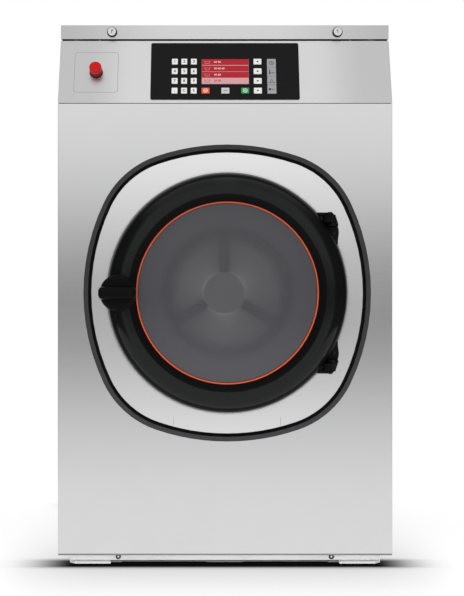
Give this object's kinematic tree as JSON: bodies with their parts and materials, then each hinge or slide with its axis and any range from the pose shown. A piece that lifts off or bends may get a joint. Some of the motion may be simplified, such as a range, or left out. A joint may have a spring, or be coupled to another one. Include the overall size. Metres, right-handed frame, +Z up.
{
  "type": "washer-extractor",
  "caption": "Front-loading washer-extractor with a round hinged door, an inclined keypad fascia, a belt-driven drum and floor plates with anchor holes.",
  "frame": {"origin": "on the floor, midway between the four anchor holes of the floor plates", "axes": "+Z up, the front faces -Y, +X to the right seen from the front"},
  "size_m": [0.71, 0.862, 1.1787],
  "materials": {
    "base_paint": "satin",
    "side_paint": "satin",
    "stainless": "brushed",
    "trim_rubber": "matte",
    "overlay_black": "satin",
    "screen": "gloss",
    "board_green": "matte",
    "black_plastic": "matte",
    "stop_red": "gloss",
    "lock_chrome": "polished",
    "white_plastic": "matte",
    "grey_paint": "satin",
    "tub_steel": "satin",
    "plate_paint": "satin",
    "cast_grey": "machined",
    "bearing_steel": "polished",
    "seal_rubber": "matte",
    "black_paint": "satin",
    "motor_paint": "satin",
    "belt_rubber": "matte",
    "grey_plastic": "matte",
    "drum_steel": "polished",
    "spider_cast": "cast",
    "ring_black": "satin",
    "smoked_glass": "gloss",
    "accent_orange": "satin",
    "knob_black": "satin",
    "key_white": "satin",
    "key_red": "satin",
    "key_grey": "satin",
    "key_green": "satin"
  },
  "bodies": {
    "cabinet": {"base_frame": "base_paint", "left_side_panel": "side_paint", "right_side_panel": "side_paint", "rear_panel": "side_paint", "front_panel": "stainless", "control_fascia": "stainless", "opening_trim": "trim_rubber", "keypad_overlay": "overlay_black", "display_screen": "screen", "control_board": "board_green", "estop_body": "black_plastic", "soap_box": "white_plastic", "inlet_valves": "white_plastic", "inverter_box": "grey_paint", "tub_shell": "tub_steel", "tub_front": "plate_paint", "tub_cradle": "grey_paint", "bearing_housing": "cast_grey", "shaft_bearings": "bearing_steel", "door_gasket": "seal_rubber", "hinge_brackets": "black_paint", "door_lock": "black_plastic", "drive_motor": "motor_paint", "drive_belt": "belt_rubber", "drain_valve": "grey_plastic", "panel_bolts": "bearing_steel"},
    "top_lid": {"top_lid": "stainless"},
    "lid_lock_left": {"lid_lock_left": "lock_chrome"},
    "lid_lock_right": {"lid_lock_right": "lock_chrome"},
    "soap_flap": {"soap_flap": "stainless"},
    "estop_button": {"estop_button": "stop_red"},
    "drum": {"drum_shell": "drum_steel", "drum_lifters": "drum_steel", "drum_spider": "spider_cast", "drum_pulley": "cast_grey"},
    "motor_rotor": {"motor_pulley": "cast_grey"},
    "door": {"door_frame": "black_paint", "door_ring": "ring_black", "door_glass": "smoked_glass", "accent_ring": "accent_orange"},
    "door_knob": {"door_knob": "knob_black"},
    "key_dot": {"key_dot": "key_white"},
    "key_clear": {"key_clear": "key_white"},
    "key_set": {"key_set": "key_white"},
    "key_1": {"key_1": "key_white"},
    "key_2": {"key_2": "key_white"},
    "key_3": {"key_3": "key_white"},
    "key_4": {"key_4": "key_white"},
    "key_5": {"key_5": "key_white"},
    "key_6": {"key_6": "key_white"},
    "key_7": {"key_7": "key_white"},
    "key_8": {"key_8": "key_white"},
    "key_9": {"key_9": "key_white"},
    "key_stop": {"key_stop": "key_red"},
    "key_enter": {"key_enter": "key_grey"},
    "key_start": {"key_start": "key_green"},
    "key_right": {"key_right": "key_white"},
    "key_left": {"key_left": "key_white"},
    "key_down": {"key_down": "key_white"},
    "key_up": {"key_up": "key_white"}
  },
  "joints": [
    {"name": "door_swing", "type": "hinge", "parent": "cabinet", "child": "door", "pos_m": [0.227, -0.4, 0.58], "axis": [0, 0, 1], "range_deg": [0, 150]},
    {"name": "knob_turn", "type": "hinge", "parent": "door", "child": "door_knob", "pos_m": [-0.2225, -0.4325, 0.58], "axis": [0, 1, 0], "range_deg": [0, 90]},
    {"name": "drum_spin", "type": "hinge", "parent": "cabinet", "child": "drum", "pos_m": [0.0045, 0, 0.58], "axis": [0, 1, 0], "continuous": true},
    {"name": "motor_spin", "type": "hinge", "parent": "cabinet", "child": "motor_rotor", "pos_m": [0.15, 0, 0.148], "axis": [0, 1, 0], "continuous": true},
    {"name": "lid_open", "type": "hinge", "parent": "cabinet", "child": "top_lid", "pos_m": [0, 0.378, 1.1582], "axis": [-1, 0, 0], "range_deg": [0, 60]},
    {"name": "lid_lock_left_turn", "type": "hinge", "parent": "top_lid", "child": "lid_lock_left", "pos_m": [-0.244, -0.32045, 1.1452], "axis": [0, 1, 0], "range_deg": [0, 90]},
    {"name": "lid_lock_right_turn", "type": "hinge", "parent": "top_lid", "child": "lid_lock_right", "pos_m": [0.244, -0.32045, 1.1452], "axis": [0, -1, 0], "range_deg": [0, 90]},
    {"name": "soap_flap_open", "type": "hinge", "parent": "cabinet", "child": "soap_flap", "pos_m": [-0.18, 0.296, 1.1732], "axis": [-1, 0, 0], "range_deg": [0, 100]},
    {"name": "estop_press", "type": "slide", "parent": "cabinet", "child": "estop_button", "axis": [0, 0.9397, -0.342], "range_m": [0, 0.005]},
    {"name": "key_dot_press", "type": "slide", "parent": "cabinet", "child": "key_dot", "axis": [0, 0.9397, -0.342], "range_m": [0, 0.0008], "stiffness_N_per_m": 1500, "springref_m": -0.0002},
    {"name": "key_clear_press", "type": "slide", "parent": "cabinet", "child": "key_clear", "axis": [0, 0.9397, -0.342], "range_m": [0, 0.0008], "stiffness_N_per_m": 1500, "springref_m": -0.0002},
    {"name": "key_set_press", "type": "slide", "parent": "cabinet", "child": "key_set", "axis": [0, 0.9397, -0.342], "range_m": [0, 0.0008], "stiffness_N_per_m": 1500, "springref_m": -0.0002},
    {"name": "key_1_press", "type": "slide", "parent": "cabinet", "child": "key_1", "axis": [0, 0.9397, -0.342], "range_m": [0, 0.0008], "stiffness_N_per_m": 1500, "springref_m": -0.0002},
    {"name": "key_2_press", "type": "slide", "parent": "cabinet", "child": "key_2", "axis": [0, 0.9397, -0.342], "range_m": [0, 0.0008], "stiffness_N_per_m": 1500, "springref_m": -0.0002},
    {"name": "key_3_press", "type": "slide", "parent": "cabinet", "child": "key_3", "axis": [0, 0.9397, -0.342], "range_m": [0, 0.0008], "stiffness_N_per_m": 1500, "springref_m": -0.0002},
    {"name": "key_4_press", "type": "slide", "parent": "cabinet", "child": "key_4", "axis": [0, 0.9397, -0.342], "range_m": [0, 0.0008], "stiffness_N_per_m": 1500, "springref_m": -0.0002},
    {"name": "key_5_press", "type": "slide", "parent": "cabinet", "child": "key_5", "axis": [0, 0.9397, -0.342], "range_m": [0, 0.0008], "stiffness_N_per_m": 1500, "springref_m": -0.0002},
    {"name": "key_6_press", "type": "slide", "parent": "cabinet", "child": "key_6", "axis": [0, 0.9397, -0.342], "range_m": [0, 0.0008], "stiffness_N_per_m": 1500, "springref_m": -0.0002},
    {"name": "key_7_press", "type": "slide", "parent": "cabinet", "child": "key_7", "axis": [0, 0.9397, -0.342], "range_m": [0, 0.0008], "stiffness_N_per_m": 1500, "springref_m": -0.0002},
    {"name": "key_8_press", "type": "slide", "parent": "cabinet", "child": "key_8", "axis": [0, 0.9397, -0.342], "range_m": [0, 0.0008], "stiffness_N_per_m": 1500, "springref_m": -0.0002},
    {"name": "key_9_press", "type": "slide", "parent": "cabinet", "child": "key_9", "axis": [0, 0.9397, -0.342], "range_m": [0, 0.0008], "stiffness_N_per_m": 1500, "springref_m": -0.0002},
    {"name": "key_stop_press", "type": "slide", "parent": "cabinet", "child": "key_stop", "axis": [0, 0.9397, -0.342], "range_m": [0, 0.0008], "stiffness_N_per_m": 1500, "springref_m": -0.0002},
    {"name": "key_enter_press", "type": "slide", "parent": "cabinet", "child": "key_enter", "axis": [0, 0.9397, -0.342], "range_m": [0, 0.0008], "stiffness_N_per_m": 1500, "springref_m": -0.0002},
    {"name": "key_start_press", "type": "slide", "parent": "cabinet", "child": "key_start", "axis": [0, 0.9397, -0.342], "range_m": [0, 0.0008], "stiffness_N_per_m": 1500, "springref_m": -0.0002},
    {"name": "key_right_press", "type": "slide", "parent": "cabinet", "child": "key_right", "axis": [0, 0.9397, -0.342], "range_m": [0, 0.0008], "stiffness_N_per_m": 1500, "springref_m": -0.0002},
    {"name": "key_left_press", "type": "slide", "parent": "cabinet", "child": "key_left", "axis": [0, 0.9397, -0.342], "range_m": [0, 0.0008], "stiffness_N_per_m": 1500, "springref_m": -0.0002},
    {"name": "key_down_press", "type": "slide", "parent": "cabinet", "child": "key_down", "axis": [0, 0.9397, -0.342], "range_m": [0, 0.0008], "stiffness_N_per_m": 1500, "springref_m": -0.0002},
    {"name": "key_up_press", "type": "slide", "parent": "cabinet", "child": "key_up", "axis": [0, 0.9397, -0.342], "range_m": [0, 0.0008], "stiffness_N_per_m": 1500, "springref_m": -0.0002}
  ],
  "couplings": [
    {"joint": "motor_spin", "follows": "drum_spin", "ratio": 5}
  ]
}
